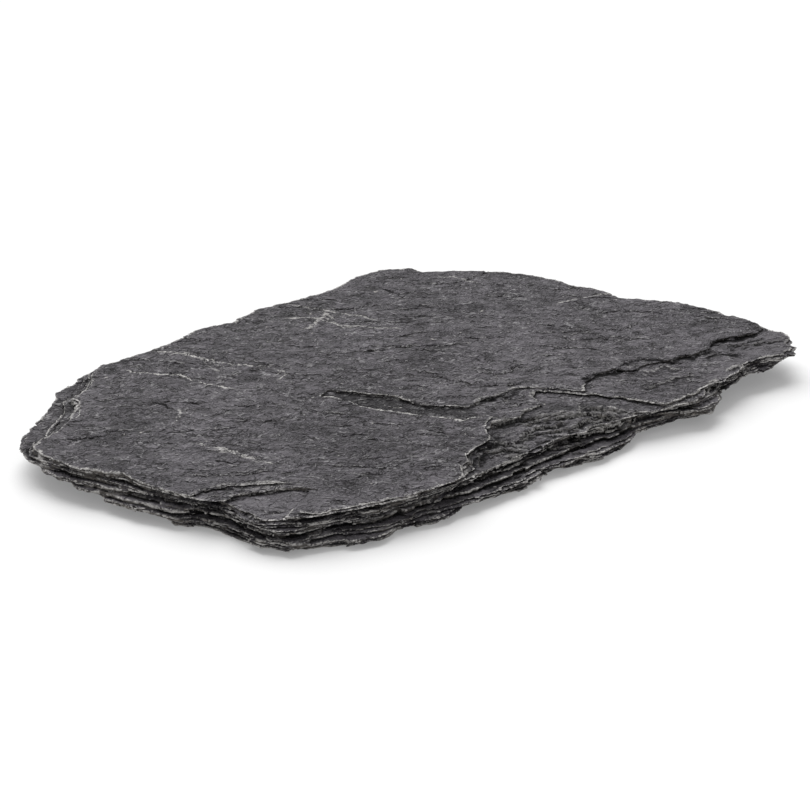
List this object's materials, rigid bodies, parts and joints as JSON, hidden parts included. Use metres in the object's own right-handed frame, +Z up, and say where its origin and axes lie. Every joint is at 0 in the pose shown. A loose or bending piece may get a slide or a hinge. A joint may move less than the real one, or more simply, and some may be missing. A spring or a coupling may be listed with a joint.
{
  "type": "slate slab",
  "caption": "Flat, irregular slab of natural dark slate with a cleft top and stepped, layered broken edges, lying flat as a display base, stepping stone or hardscape piece.",
  "frame": {"origin": "middle of the footprint's bounding rectangle, on the plane the slab rests on", "axes": "+X along the slab's length, towards its thin, pointed east tip; +Y across it, towards the straighter back edge; +Z up through its thickness, along the normal of the cleavage"},
  "size_m": [0.3722, 0.2366, 0.016],
  "materials": {
    "slate": "dark purplish-grey slate, matt riven cleavage faces with a faint sheen, darker broken edges with pale worn rims and a few thin pale mineral veins"
  },
  "bodies": {
    "root": {"slate_slab": "slate"}
  },
  "joints": []
}
